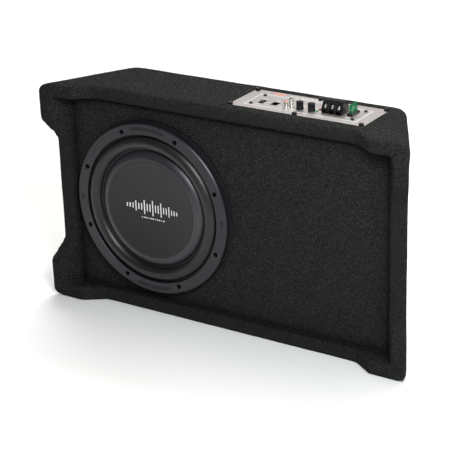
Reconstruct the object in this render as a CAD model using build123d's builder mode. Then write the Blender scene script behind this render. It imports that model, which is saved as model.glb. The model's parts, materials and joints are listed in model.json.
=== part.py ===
from build123d import *
import math
import os

os.makedirs("parts", exist_ok=True)

# Powered car subwoofer: a carpeted board cabinet with feet round a recessed baffle, a shallow
# 12 inch loudspeaker in the baffle, and an amplifier module let into the top board.
# Millimetres. X runs to the right, Y to the back and Z up, from the middle of the bottom face.

# ---- Cabinet
WIDTH = 731.0
HEIGHT = 411.0
DEPTH = 160.0
SIDE_INSET = 86.0  # how far each side leans in from the front to the back
CARPET = 3.5
BOARD = 18.0
FOOT_PROUD = 26.5  # corner feet, in front of the rim between them
FOOT_LENGTH = 69.0
RAMP_RUN = 38.0
BAFFLE_DEPTH = 37.0  # foot tips to the baffle's carpet
CORNER_RADIUS = 16.0
FOOT_TIP_RADIUS = 12.0
RAMP_TOE_RADIUS = 28.0
OVERSHOOT = 10.0  # how far cutting shapes run past a face

# ---- Loudspeaker, on an axis along Y
DRIVER_X = -147.5
DRIVER_Z = 200.0
FLANGE_RADIUS = 158.0
FLANGE_BORE = 137.5
FLANGE_THICKNESS = 15.0
GASKET = 3.0
BOLT_CIRCLE = 146.0
BOLT_COUNT = 8
BOLT_TURN = 21.5
BOLT_RADIUS = 2.5
BAFFLE_HOLE = 139.0
CONE_RADIUS = 113.0
CAP_RADIUS = 91.0
CAP_DISH = 8.0
FORMER_RADIUS = 25.4
FORMER_OUTSIDE = 25.9
SPOKES = 6

# ---- Amplifier, let into the top board
PLATE_X = 131.5
PLATE_Y = 15.2
PLATE_WIDTH = 257.0
PLATE_DEPTH = 98.0
PLATE = 2.0
PLATE_SCREW_X = 123.2
PLATE_SCREW_Y = 44.0
BOARD_SCREW_X = 96.0
BOARD_SCREW_Y = 23.0
CUTOUT_WIDTH = 224.0
CUTOUT_DEPTH = 73.0
CUTOUT_CORNER = 1.5
CHASSIS_WIDTH = 220.0
CHASSIS_DEPTH = 71.0
CHASSIS_DROP = 61.5
SHEET = 1.5
CIRCUIT_DROP = 16.5  # plate's underside to the circuit board's top
CIRCUIT = 1.6
KNOB_RADIUS = 6.0
KNOB_HEIGHT = 12.5
KNOB_XY = ((-7.0, -13.5), (15.0, -13.5))
RCA_XY = ((-29.5, -20.0), (-29.5, -2.5))
RCA_RADIUS = 4.15
LED_XY = ((25.0, -13.0), (25.0, -2.5))
LED_RADIUS = 2.5
TERMINAL_XY = (52.0, -1.0)
TERMINAL_PITCH = 12.6
FUSE_XY = (84.0, 2.5)
SWITCH_XY = (-82.0, -8.0)
SWITCH_TRAVEL = 5.0
PORT_XY = (-58.0, -7.5)

# ---- Places that follow from the driving dimensions
FRONT = -DEPTH / 2
BACK = DEPTH / 2
MID_RIM = FRONT + FOOT_PROUD
BAFFLE_FACE = FRONT + BAFFLE_DEPTH
WALL = BOARD + 2 * CARPET
SHELL = BOARD + CARPET
SLANT = math.hypot(DEPTH, SIDE_INSET) / DEPTH
RAMP_ANGLE = math.atan2(FOOT_PROUD, RAMP_RUN)
RAMP_SHIFT = (1 - math.cos(RAMP_ANGLE)) / math.sin(RAMP_ANGLE)
BAFFLE_FRONT = BAFFLE_FACE + CARPET
BAFFLE_BACK = BAFFLE_FRONT + BOARD
BACK_INNER = BACK - SHELL
FLANGE_BACK = BAFFLE_FRONT - GASKET
FLANGE_FRONT = FLANGE_BACK - FLANGE_THICKNESS
LEDGE = FLANGE_FRONT + 7.5
PLATE_UNDER = HEIGHT - CARPET
PLATE_TOP = PLATE_UNDER + PLATE
CIRCUIT_TOP = PLATE_UNDER - CIRCUIT_DROP
CHASSIS_FLOOR = PLATE_UNDER - CHASSIS_DROP
DRIVER_PLANE = Plane(origin=(DRIVER_X, 0, DRIVER_Z), x_dir=(1, 0, 0), z_dir=(0, 0, 1))
DRIVER_AXIS = Axis((DRIVER_X, 0, DRIVER_Z), (0, 1, 0))


def save(part, name):
    """Labels a finished piece and writes it as its own STEP file."""
    part.label = name
    export_step(part, f"parts/{name}.step")


def half_width(y, inset):
    """Distance from the middle to a side face that lies inset inside the outer one."""
    return WIDTH / 2 - SIDE_INSET * (y - FRONT) / DEPTH - inset * SLANT


def tapered_prism(front, back, inset, low, high, corner=0.0):
    """A block between two depths and two heights whose sides lean in with the cabinet's."""
    corners = [(-half_width(front, inset), front), (half_width(front, inset), front)]
    corners += [(half_width(back, inset), back), (-half_width(back, inset), back)]
    with BuildPart() as prism:
        with BuildSketch(Plane.XY.offset(low)):
            with BuildLine():
                Polyline(*corners, close=True)
            make_face()
        extrude(amount=high - low)
        if corner:
            slanted = prism.edges().filter_by(
                lambda e: abs((e @ 1 - e @ 0).X) > 1 and abs((e @ 1 - e @ 0).Y) > 1
            )
            fillet(slanted, corner)
    return prism.part


def gap_corners(low_end, high_end, inset):
    """Corners, as (depth, position), of the gap between the feet at an edge's two ends."""
    tip = FRONT + inset
    rim = MID_RIM + inset
    foot = FOOT_LENGTH - inset * RAMP_SHIFT
    lead = FOOT_LENGTH / 3
    low = [(tip, low_end + foot - lead), (tip, low_end + foot), (rim, low_end + foot + RAMP_RUN)]
    high = [(rim, high_end - foot - RAMP_RUN), (tip, high_end - foot), (tip, high_end - foot + lead)]
    return low + high


def gap_line(corners):
    """The gap's closed outline, its ramps rounded into the feet and the rim."""
    radii = [FOOT_TIP_RADIUS, RAMP_TOE_RADIUS, RAMP_TOE_RADIUS, FOOT_TIP_RADIUS]
    FilletPolyline(*corners, radius=radii)


def cabinet_envelope(inset):
    """The cabinet filled in, with its front recess and foot gaps, inset inside the carpet's face."""
    side_gap = gap_corners(0, HEIGHT, inset)
    long_gap = [(x, y) for y, x in gap_corners(-WIDTH / 2, WIDTH / 2, inset)]
    recess = tapered_prism(
        FRONT - OVERSHOOT, BAFFLE_FACE + inset, WALL - inset, WALL - inset, HEIGHT - WALL + inset
    )
    block = tapered_prism(
        FRONT + inset, BACK - inset, inset, inset, HEIGHT - inset, CORNER_RADIUS - inset
    )
    with BuildPart() as envelope:
        add(block)
        add(recess, mode=Mode.SUBTRACT)
        with BuildSketch(Plane.YZ):
            with BuildLine():
                gap_line(side_gap)
                first = (FRONT - OVERSHOOT, side_gap[0][1])
                last = (FRONT - OVERSHOOT, side_gap[-1][1])
                Polyline(side_gap[-1], last, first, side_gap[0])
            make_face()
        extrude(amount=WIDTH, both=True, mode=Mode.SUBTRACT)
        with BuildSketch(Plane.XY):
            with BuildLine():
                gap_line(long_gap)
                first = (long_gap[0][0], FRONT - OVERSHOOT)
                last = (long_gap[-1][0], FRONT - OVERSHOOT)
                Polyline(long_gap[-1], last, first, long_gap[0])
            make_face()
        extrude(amount=2 * HEIGHT, both=True, mode=Mode.SUBTRACT)
    return envelope.part


def bolt_places(y):
    """Locations on the loudspeaker's bolt circle that point along +Y, at one depth."""
    steps = (math.radians(BOLT_TURN + 360 / BOLT_COUNT * i) for i in range(BOLT_COUNT))
    places = []
    for a in steps:
        x = DRIVER_X + BOLT_CIRCLE * math.cos(a)
        z = DRIVER_Z + BOLT_CIRCLE * math.sin(a)
        places.append(Plane(origin=(x, y, z), z_dir=(0, 1, 0)).location)
    return places


def plate_screw_places(z):
    """Locations of the plate's six wood screws at one height."""
    return [
        Location((PLATE_X + x, PLATE_Y + y, z))
        for x in (-PLATE_SCREW_X, 0, PLATE_SCREW_X)
        for y in (-PLATE_SCREW_Y, PLATE_SCREW_Y)
    ]


def board_screw_places(z):
    """Locations of the four small screws over the circuit board's standoffs at one height."""
    return [
        Location((PLATE_X + x, PLATE_Y + y, z))
        for x in (-BOARD_SCREW_X, BOARD_SCREW_X)
        for y in (-BOARD_SCREW_Y, BOARD_SCREW_Y)
    ]


def plate_places(spots, z):
    """Locations of things set out from the plate's middle, at one height."""
    return [Location((PLATE_X + x, PLATE_Y + y, z)) for x, y in spots]


UP = (Align.CENTER, Align.CENTER, Align.MIN)
DOWN = (Align.CENTER, Align.CENTER, Align.MAX)

# ================================================================ cabinet boards
BOARDS = cabinet_envelope(CARPET)
INNER_SIDES = tapered_prism(FRONT - OVERSHOOT, BACK + OVERSHOOT, SHELL, 0, HEIGHT)
WOOD_SCREW_RADIUS = 1.85
WOOD_SCREW_LENGTH = 16.0
PILOT_DEPTH = 17.0
TEE_BARREL = 3.3
DUCT_RADIUS = 5.0

with BuildPart() as top_panel:
    add(BOARDS)
    with Locations((0, 0, HEIGHT - SHELL)):
        Box(2 * WIDTH, 2 * DEPTH, BOARD, align=UP, mode=Mode.INTERSECT)
    with BuildSketch(Plane.XY.offset(HEIGHT - SHELL)):
        with Locations((PLATE_X, PLATE_Y)):
            RectangleRounded(CUTOUT_WIDTH, CUTOUT_DEPTH, CUTOUT_CORNER)
    extrude(amount=BOARD, mode=Mode.SUBTRACT)
    with Locations(*plate_screw_places(PLATE_UNDER)):
        Cylinder(WOOD_SCREW_RADIUS, PILOT_DEPTH, align=DOWN, mode=Mode.SUBTRACT)
save(top_panel.part, "top_panel")

with BuildPart() as bottom_panel:
    add(BOARDS)
    with Locations((0, 0, CARPET)):
        Box(2 * WIDTH, 2 * DEPTH, BOARD, align=UP, mode=Mode.INTERSECT)
save(bottom_panel.part, "bottom_panel")

for side, name in ((-1, "left_panel"), (1, "right_panel")):
    with BuildPart() as side_panel:
        add(BOARDS)
        with Locations((side * WIDTH / 2, 0, SHELL)):
            Box(WIDTH, 2 * DEPTH, HEIGHT - 2 * SHELL, align=UP, mode=Mode.INTERSECT)
        add(INNER_SIDES, mode=Mode.SUBTRACT)
    save(side_panel.part, name)

with BuildPart() as front_baffle:
    add(tapered_prism(BAFFLE_FRONT, BAFFLE_BACK, SHELL, SHELL, HEIGHT - SHELL))
    with Locations(Plane(origin=(DRIVER_X, BAFFLE_FRONT, DRIVER_Z), z_dir=(0, 1, 0)).location):
        Cylinder(BAFFLE_HOLE, BOARD, align=UP, mode=Mode.SUBTRACT)
    with Locations(*bolt_places(BAFFLE_FRONT)):
        Cylinder(TEE_BARREL + 0.1, BOARD, align=UP, mode=Mode.SUBTRACT)
save(front_baffle.part, "front_baffle")

with BuildPart() as back_panel:
    add(tapered_prism(BACK_INNER, BACK - CARPET, SHELL, SHELL, HEIGHT - SHELL))
save(back_panel.part, "back_panel")

# A windowed brace ties the baffle to the back, low enough to pass under the amplifier.
BRACE_X = 30.0
BRACE_HEIGHT = 300.0
BRACE_WINDOW = (44.0, 110.0)
with BuildPart() as brace:
    with BuildSketch(Plane.YZ.offset(BRACE_X)):
        with Locations(((BAFFLE_BACK + BACK_INNER) / 2, SHELL + BRACE_HEIGHT / 2)):
            Rectangle(BACK_INNER - BAFFLE_BACK, BRACE_HEIGHT)
            with Locations((0, -BRACE_HEIGHT / 4), (0, BRACE_HEIGHT / 4)):
                RectangleRounded(*BRACE_WINDOW, 20, mode=Mode.SUBTRACT)
    extrude(amount=BOARD)
save(brace.part, "brace")

WADDING = 22.0
WADDING_LOW = 40.0
WADDING_HIGH = 330.0
with BuildPart() as damping_wadding:
    add(tapered_prism(BACK_INNER - WADDING, BACK_INNER, SHELL + 4, WADDING_LOW, WADDING_HIGH))
    with Locations((BRACE_X + BOARD + 12, 0, 0)):
        Box(WIDTH, WIDTH, WIDTH, align=(Align.MIN, Align.CENTER, Align.MIN), mode=Mode.INTERSECT)
    fillet(damping_wadding.edges().group_by(Axis.Y)[0], 8)
save(damping_wadding.part, "damping_wadding")

# ================================================================ carpet
# One skin all over, cut round the loudspeaker and the amplifier plate, in four pieces.
FLANGE_GAP = 0.6
with BuildPart() as carpet_skin:
    add(cabinet_envelope(0))
    add(BOARDS, mode=Mode.SUBTRACT)
    with Locations(Plane(origin=(DRIVER_X, BAFFLE_FACE, DRIVER_Z), z_dir=(0, 1, 0)).location):
        Cylinder(FLANGE_RADIUS + FLANGE_GAP, CARPET, align=UP, mode=Mode.SUBTRACT)
    with BuildSketch(Plane.XY.offset(PLATE_UNDER)):
        with Locations((PLATE_X, PLATE_Y)):
            RectangleRounded(PLATE_WIDTH + 1, PLATE_DEPTH + 1, 3)
    extrude(amount=CARPET, mode=Mode.SUBTRACT)

with BuildPart() as bottom_carpet:
    add(carpet_skin.part)
    Box(2 * WIDTH, 2 * DEPTH, WALL, align=UP, mode=Mode.INTERSECT)
save(bottom_carpet.part, "bottom_carpet")

RECESS_FACE = tapered_prism(BAFFLE_FACE, BAFFLE_FRONT, WALL, WALL, HEIGHT - WALL)
BACK_FACE = tapered_prism(BACK - CARPET, BACK, CORNER_RADIUS, WALL, HEIGHT - CORNER_RADIUS)

with BuildPart() as baffle_carpet:
    add(carpet_skin.part)
    add(RECESS_FACE, mode=Mode.INTERSECT)
save(baffle_carpet.part, "baffle_carpet")

with BuildPart() as back_carpet:
    add(carpet_skin.part)
    add(BACK_FACE, mode=Mode.INTERSECT)
save(back_carpet.part, "back_carpet")

with BuildPart() as carpet_wrap:
    add(carpet_skin.part)
    Box(2 * WIDTH, 2 * DEPTH, WALL, align=UP, mode=Mode.SUBTRACT)
    add(RECESS_FACE, mode=Mode.SUBTRACT)
    add(BACK_FACE, mode=Mode.SUBTRACT)
save(carpet_wrap.part, "carpet_wrap")

# ================================================================ loudspeaker frame
HEAD_RADIUS = 4.1
HEAD_HEIGHT = 5.0
HEAD_SINK = 9.0
BASE_FRONT = 2.0
BASE_BACK = 6.0
SPIDER_STEP = -7.0
BASE_RADIUS = 76.0
BASKET_RADIUS = 137.5
EDGE_CHAMFER = 1.8
LEDGE_RADIUS = 129.0
basket_profile = [
    (FLANGE_RADIUS, FLANGE_FRONT),
    (FLANGE_RADIUS, FLANGE_BACK),
    (BASKET_RADIUS, FLANGE_BACK),
    (BASKET_RADIUS - 1.0, -31.0),
    (BASE_RADIUS, -2.0),
    (BASE_RADIUS, BASE_BACK),
    (34.0, BASE_BACK),
    (34.0, BASE_FRONT),
    (64.0, BASE_FRONT),
    (64.0, SPIDER_STEP),
    (73.0, SPIDER_STEP),
    (132.5, -34.0),
    (133.0, LEDGE + 4.0),
    (LEDGE_RADIUS, LEDGE + 4.0),
    (LEDGE_RADIUS, LEDGE),
    (FLANGE_BORE, LEDGE),
    (FLANGE_BORE, FLANGE_FRONT),
]
WINDOW_ARC = 42.0  # each opening between two spokes, in degrees
with BuildPart() as basket_window:
    with BuildSketch(DRIVER_PLANE):
        with Locations((104.5, -14.0)):
            Rectangle(49, 44)
    revolve(axis=DRIVER_AXIS, revolution_arc=WINDOW_ARC)

with BuildPart() as basket:
    with BuildSketch(DRIVER_PLANE):
        with BuildLine():
            Polyline(*basket_profile, close=True)
        make_face()
    revolve(axis=DRIVER_AXIS)
    front_edges = basket.edges().filter_by(GeomType.CIRCLE).group_by(Axis.Y)[0]
    chamfer(front_edges.sort_by(SortBy.RADIUS)[-1], EDGE_CHAMFER)
    front_edges = basket.edges().filter_by(GeomType.CIRCLE).group_by(Axis.Y)[0]
    chamfer(front_edges.sort_by(SortBy.RADIUS)[0], 0.8)
    for i in range(SPOKES):
        turn = 360 / SPOKES * i + (360 / SPOKES - WINDOW_ARC) / 2
        add(basket_window.part.rotate(DRIVER_AXIS, turn), mode=Mode.SUBTRACT)
    with Locations(*bolt_places(FLANGE_FRONT)):
        Cylinder(HEAD_RADIUS + 0.4, HEAD_SINK, align=UP, mode=Mode.SUBTRACT)
        Cylinder(BOLT_RADIUS + 0.25, FLANGE_THICKNESS, align=UP, mode=Mode.SUBTRACT)
    with Locations((DRIVER_X + BASE_RADIUS - 2, 2, DRIVER_Z)):
        Box(10, 6, 20, align=(Align.MIN, Align.CENTER, Align.CENTER))
save(basket.part, "basket")

with BuildPart() as driver_gasket:
    with Locations(Plane(origin=(DRIVER_X, FLANGE_BACK, DRIVER_Z), z_dir=(0, 1, 0)).location):
        Cylinder(FLANGE_RADIUS - 1, GASKET, align=UP)
        Cylinder(BAFFLE_HOLE + 1.5, GASKET, align=UP, mode=Mode.SUBTRACT)
    with Locations(*bolt_places(FLANGE_BACK)):
        Cylinder(BOLT_RADIUS + 0.25, GASKET, align=UP, mode=Mode.SUBTRACT)
save(driver_gasket.part, "driver_gasket")

SCREW_TIP = BAFFLE_BACK + 3.0
HEX_KEY = 4.0
with BuildPart() as driver_screws:
    with Locations(*bolt_places(FLANGE_FRONT + HEAD_SINK - HEAD_HEIGHT)):
        Cylinder(HEAD_RADIUS, HEAD_HEIGHT, align=UP)
        Cylinder(HEX_KEY / 2, 2.5, align=UP, mode=Mode.SUBTRACT)
    with Locations(*bolt_places(FLANGE_FRONT + HEAD_SINK)):
        Cylinder(BOLT_RADIUS, SCREW_TIP - FLANGE_FRONT - HEAD_SINK, align=UP)
save(driver_screws.part, "driver_screws")

TEE_LENGTH = 12.0
TEE_FLANGE = (8.5, 1.2)
with BuildPart() as tee_nuts:
    with Locations(*bolt_places(BAFFLE_BACK)):
        Cylinder(*TEE_FLANGE, align=UP)
        Cylinder(TEE_BARREL, TEE_LENGTH, align=DOWN)
    with Locations(*bolt_places(BAFFLE_BACK - TEE_LENGTH)):
        Cylinder(BOLT_RADIUS + 0.05, TEE_LENGTH + 2, align=UP, mode=Mode.SUBTRACT)
save(tee_nuts.part, "tee_nuts")

# ================================================================ moving cone and its suspension
LIP_FACE = -48.2  # front of the cone's outer lip
CREST = FLANGE_FRONT - 0.5  # front of the shoulder and of the cap's rim
CAP_THICKNESS = 1.2
CAP_SEAT = CREST + CAP_THICKNESS
SKIN = 1.4
NECK = -20.0
LIP_RADIUS = 108.3  # where the shoulder rises from the lip
SHOULDER_RADIUS = 93.0
SEAT_RADIUS = CAP_RADIUS + 0.2
with BuildPart() as cone:
    with BuildSketch(DRIVER_PLANE):
        with BuildLine():
            Line((CONE_RADIUS, LIP_FACE + SKIN), (CONE_RADIUS, LIP_FACE))
            Line((CONE_RADIUS, LIP_FACE), (LIP_RADIUS, LIP_FACE))
            ThreePointArc((LIP_RADIUS, LIP_FACE), (103.0, CREST + 3.9), (SHOULDER_RADIUS, CREST))
            Line((SHOULDER_RADIUS, CREST), (SEAT_RADIUS, CREST))
            Line((SEAT_RADIUS, CREST), (SEAT_RADIUS, CAP_SEAT))
            Line((SEAT_RADIUS, CAP_SEAT), (88.8, CAP_SEAT))
            Line((88.8, CAP_SEAT), (FORMER_OUTSIDE, NECK - 2))
            Line((FORMER_OUTSIDE, NECK - 2), (FORMER_OUTSIDE, NECK))
            Line((FORMER_OUTSIDE, NECK), (88.3, CAP_SEAT + 2.2))
            Line((88.3, CAP_SEAT + 2.2), (SHOULDER_RADIUS, CAP_SEAT + 1.0))
            ThreePointArc(
                (SHOULDER_RADIUS, CAP_SEAT + 1.0), (102.0, CREST + 5.6), (106.6, LIP_FACE + SKIN)
            )
            Line((106.6, LIP_FACE + SKIN), (CONE_RADIUS, LIP_FACE + SKIN))
        make_face()
    revolve(axis=DRIVER_AXIS)
save(cone.part, "cone")

RIM_LAND = 2.4
DISH_RADIUS = CAP_RADIUS - RIM_LAND
BOWL_RADIUS = (DISH_RADIUS**2 + CAP_DISH**2) / (2 * CAP_DISH)
DISH_BOTTOM = CREST + CAP_DISH
half_dish = DISH_RADIUS / 2
half_depth = DISH_BOTTOM - BOWL_RADIUS + math.sqrt(BOWL_RADIUS**2 - half_dish**2)
with BuildPart() as dust_cap:
    with BuildSketch(DRIVER_PLANE):
        with BuildLine():
            Line((0, DISH_BOTTOM), (0, DISH_BOTTOM + CAP_THICKNESS))
            ThreePointArc(
                (0, DISH_BOTTOM + CAP_THICKNESS),
                (half_dish, half_depth + CAP_THICKNESS),
                (DISH_RADIUS, CAP_SEAT),
            )
            Line((DISH_RADIUS, CAP_SEAT), (CAP_RADIUS, CAP_SEAT))
            Line((CAP_RADIUS, CAP_SEAT), (CAP_RADIUS, CREST))
            Line((CAP_RADIUS, CREST), (DISH_RADIUS, CREST))
            ThreePointArc((DISH_RADIUS, CREST), (half_dish, half_depth), (0, DISH_BOTTOM))
        make_face()
    revolve(axis=DRIVER_AXIS)
save(dust_cap.part, "dust_cap")

ROLL_OUT = 133.8
ROLL_IN = 111.6
ROLL_MIDDLE = (ROLL_OUT + ROLL_IN) / 2
ROLL_PEAK = FLANGE_FRONT - 3.2
GLUE_OUT = FLANGE_BORE - 0.3
GLUE_IN = 108.6
with BuildPart() as surround:
    with BuildSketch(DRIVER_PLANE):
        with BuildLine():
            Line((GLUE_OUT, LEDGE), (GLUE_OUT, LEDGE - SKIN))
            Line((GLUE_OUT, LEDGE - SKIN), (ROLL_OUT, LEDGE - SKIN))
            ThreePointArc((ROLL_OUT, LEDGE - SKIN), (ROLL_MIDDLE, ROLL_PEAK), (ROLL_IN, LIP_FACE - SKIN))
            Line((ROLL_IN, LIP_FACE - SKIN), (GLUE_IN, LIP_FACE - SKIN))
            Line((GLUE_IN, LIP_FACE - SKIN), (GLUE_IN, LIP_FACE))
            Line((GLUE_IN, LIP_FACE), (ROLL_IN + SKIN, LIP_FACE))
            ThreePointArc(
                (ROLL_IN + SKIN, LIP_FACE), (ROLL_MIDDLE, ROLL_PEAK + SKIN), (ROLL_OUT - SKIN, LEDGE)
            )
            Line((ROLL_OUT - SKIN, LEDGE), (GLUE_OUT, LEDGE))
        make_face()
    revolve(axis=DRIVER_AXIS)
save(surround.part, "surround")

SPIDER_RADIUS = 71.0
SPIDER_WAVES = 5
SPIDER_SKIN = 0.8
SPIDER_STEPS = 8 * SPIDER_WAVES
WAVE_HEIGHT = 2.2
WAVE_START = FORMER_RADIUS + 4.0
WAVE_END = 62.0


def spider_face(offset):
    """Points, as (radius, depth), across one face of the corrugated spider."""
    points = [(FORMER_OUTSIDE, SPIDER_STEP + offset)]
    for i in range(SPIDER_STEPS + 1):
        share = i / SPIDER_STEPS
        wave = WAVE_HEIGHT * math.sin(2 * math.pi * SPIDER_WAVES * share)
        points.append((WAVE_START + share * (WAVE_END - WAVE_START), SPIDER_STEP + offset - wave))
    points.append((SPIDER_RADIUS, SPIDER_STEP + offset))
    return points


with BuildPart() as spider:
    with BuildSketch(DRIVER_PLANE):
        with BuildLine():
            Polyline(*spider_face(0), *reversed(spider_face(-SPIDER_SKIN)), close=True)
        make_face()
    revolve(axis=DRIVER_AXIS)
save(spider.part, "spider")


def ring(inner, outer, front, back):
    """A round plate or tube on the loudspeaker's axis."""
    with BuildPart() as round_part:
        with BuildSketch(DRIVER_PLANE):
            with Locations(((inner + outer) / 2, (front + back) / 2)):
                Rectangle(outer - inner, back - front)
        revolve(axis=DRIVER_AXIS)
    return round_part.part


MOTOR_RADIUS = 62.0
MAGNET_RADIUS = 70.0
WINDING_OUTSIDE = 27.2
POLE_RADIUS = 24.5
VENT_RADIUS = 10.0
TOP_PLATE_BACK = BASE_BACK + 8.0
MAGNET_BACK = TOP_PLATE_BACK + 18.0
YOKE_BACK = MAGNET_BACK + 6.0
COIL_LENGTH = 20.0
COIL_BACK = (BASE_BACK + TOP_PLATE_BACK + COIL_LENGTH) / 2
save(ring(FORMER_RADIUS, FORMER_OUTSIDE, NECK - 4, COIL_BACK), "voice_coil_former")
save(ring(FORMER_OUTSIDE, WINDING_OUTSIDE, COIL_BACK - COIL_LENGTH, COIL_BACK), "voice_coil_winding")
save(ring(WINDING_OUTSIDE + 1, MOTOR_RADIUS, BASE_BACK, TOP_PLATE_BACK), "motor_top_plate")
save(ring(36.0, MAGNET_RADIUS, TOP_PLATE_BACK, MAGNET_BACK), "magnet")
with BuildPart() as motor_yoke:
    add(ring(VENT_RADIUS, POLE_RADIUS, BASE_BACK, YOKE_BACK))
    add(ring(VENT_RADIUS, MOTOR_RADIUS, MAGNET_BACK, YOKE_BACK))
    fillet(motor_yoke.edges().filter_by(GeomType.CIRCLE).group_by(Axis.Y)[-1], 1.5)
save(motor_yoke.part, "motor_yoke")
save(ring(MAGNET_RADIUS + 0.3, MAGNET_RADIUS + 2.5, TOP_PLATE_BACK - 2, YOKE_BACK - 1), "magnet_boot")

TERMINAL_X = DRIVER_X + BASE_RADIUS + 8.0
with BuildPart() as driver_terminals:
    with Locations((TERMINAL_X, 2, DRIVER_Z)):
        Box(2, 8, 30, align=(Align.MIN, Align.CENTER, Align.CENTER))
    with Locations((TERMINAL_X, 2, DRIVER_Z - 9), (TERMINAL_X, 2, DRIVER_Z + 9)):
        Box(11, 0.8, 6.3, align=(Align.MIN, Align.CENTER, Align.CENTER))
save(driver_terminals.part, "driver_terminals")

# ================================================================ amplifier plate and its housing
SWITCH_SIZE = (9.0, 17.0)
PORT_SIZE = (13.0, 16.0)
TERMINAL_LENGTH = 3 * TERMINAL_PITCH
TERMINAL_DEPTH = 26.0
FUSE_HOLDER_SIZE = (10.0, 26.0)
with BuildPart() as amp_plate:
    with BuildSketch(Plane.XY.offset(PLATE_UNDER)):
        with Locations((PLATE_X, PLATE_Y)):
            RectangleRounded(PLATE_WIDTH, PLATE_DEPTH, 3)
            with Locations(*RCA_XY):
                Circle(3.6, mode=Mode.SUBTRACT)
            with Locations(*KNOB_XY):
                Circle(3.6, mode=Mode.SUBTRACT)
            with Locations(*LED_XY):
                Circle(LED_RADIUS + 0.1, mode=Mode.SUBTRACT)
            with Locations(TERMINAL_XY):
                Rectangle(TERMINAL_LENGTH + 0.4, TERMINAL_DEPTH + 0.4, mode=Mode.SUBTRACT)
            with Locations(FUSE_XY):
                Rectangle(FUSE_HOLDER_SIZE[0] - 2, FUSE_HOLDER_SIZE[1] - 2, mode=Mode.SUBTRACT)
            with Locations(SWITCH_XY):
                Rectangle(SWITCH_SIZE[0] - 2, SWITCH_SIZE[1] - 2, mode=Mode.SUBTRACT)
            with Locations(PORT_XY):
                Rectangle(*PORT_SIZE, mode=Mode.SUBTRACT)
    extrude(amount=PLATE)
    with Locations(*plate_screw_places(PLATE_UNDER)):
        Cylinder(2.1, PLATE, align=UP, mode=Mode.SUBTRACT)
    with Locations(*board_screw_places(PLATE_UNDER)):
        Cylinder(1.6, PLATE, align=UP, mode=Mode.SUBTRACT)
    chamfer(amp_plate.faces().sort_by(Axis.Z)[-1].outer_wire().edges(), 0.4)
save(amp_plate.part, "amp_plate")

GROMMET_Z = PLATE_UNDER - 42.0
CHASSIS_LEFT = PLATE_X - CHASSIS_WIDTH / 2
with BuildPart() as amp_chassis:
    with Locations((PLATE_X, PLATE_Y, CHASSIS_FLOOR)):
        Box(CHASSIS_WIDTH, CHASSIS_DEPTH, CHASSIS_DROP, align=UP)
    inside = (CHASSIS_WIDTH - 2 * SHEET, CHASSIS_DEPTH - 2 * SHEET, CHASSIS_DROP)
    with Locations((PLATE_X, PLATE_Y, CHASSIS_FLOOR + SHEET)):
        Box(*inside, align=UP, mode=Mode.SUBTRACT)
    fillet(amp_chassis.edges().group_by(Axis.Z)[0], 1.0)
    with Locations(Plane(origin=(CHASSIS_LEFT, PLATE_Y, GROMMET_Z), z_dir=(1, 0, 0)).location):
        Cylinder(DUCT_RADIUS, 4 * SHEET, mode=Mode.SUBTRACT)
save(amp_chassis.part, "amp_chassis")

GROMMET_BORE = 3.8
GROMMET_RADIUS = 7.0
GROMMET_LIP = 1.5
with BuildPart() as lead_grommet:
    with BuildSketch(Plane(origin=(0, PLATE_Y, GROMMET_Z), x_dir=(1, 0, 0), z_dir=(0, -1, 0))):
        with BuildLine():
            Polyline(
                (CHASSIS_LEFT - GROMMET_LIP, GROMMET_BORE),
                (CHASSIS_LEFT - GROMMET_LIP, GROMMET_RADIUS),
                (CHASSIS_LEFT, GROMMET_RADIUS),
                (CHASSIS_LEFT, DUCT_RADIUS),
                (CHASSIS_LEFT + SHEET, DUCT_RADIUS),
                (CHASSIS_LEFT + SHEET, GROMMET_RADIUS),
                (CHASSIS_LEFT + SHEET + GROMMET_LIP, GROMMET_RADIUS),
                (CHASSIS_LEFT + SHEET + GROMMET_LIP, GROMMET_BORE),
                close=True,
            )
        make_face()
    revolve(axis=Axis((0, PLATE_Y, GROMMET_Z), (1, 0, 0)))
save(lead_grommet.part, "lead_grommet")

with BuildPart() as board_standoffs:
    with Locations(*board_screw_places(CIRCUIT_TOP)):
        Cylinder(3.0, CIRCUIT_DROP, align=UP)
        Cylinder(1.6, CIRCUIT_DROP, align=UP, mode=Mode.SUBTRACT)
save(board_standoffs.part, "board_standoffs")

CIRCUIT_SIZE = (210.0, 60.0)
with BuildPart() as circuit_board:
    with Locations((PLATE_X, PLATE_Y, CIRCUIT_TOP - CIRCUIT)):
        Box(*CIRCUIT_SIZE, CIRCUIT, align=UP)
    with Locations(*board_screw_places(CIRCUIT_TOP - CIRCUIT)):
        Cylinder(1.7, CIRCUIT, align=UP, mode=Mode.SUBTRACT)
save(circuit_board.part, "circuit_board")

HEATSINK_SIZE = (90.0, 60.0, 4.0)
FIN_PITCH = 7.0
with BuildPart() as heatsink:
    with Locations((PLATE_X + 5, PLATE_Y, CHASSIS_FLOOR + SHEET)):
        Box(*HEATSINK_SIZE, align=UP)
        with Locations(*((0, FIN_PITCH * i, HEATSINK_SIZE[2]) for i in range(-4, 5))):
            Box(HEATSINK_SIZE[0], 2, 18, align=UP)
save(heatsink.part, "heatsink")

CAPACITOR_XY = ((-88, 14), (-70, 14), (-88, -12), (-70, -12))
CAPACITOR_RADIUS = 8.0
with BuildPart() as capacitors:
    with Locations(*plate_places(CAPACITOR_XY, CIRCUIT_TOP - CIRCUIT)):
        Cylinder(CAPACITOR_RADIUS, 25, align=DOWN)
        with Locations((0, 0, -22)):
            Torus(CAPACITOR_RADIUS + 0.2, 0.7, mode=Mode.SUBTRACT)
save(capacitors.part, "capacitors")

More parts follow.
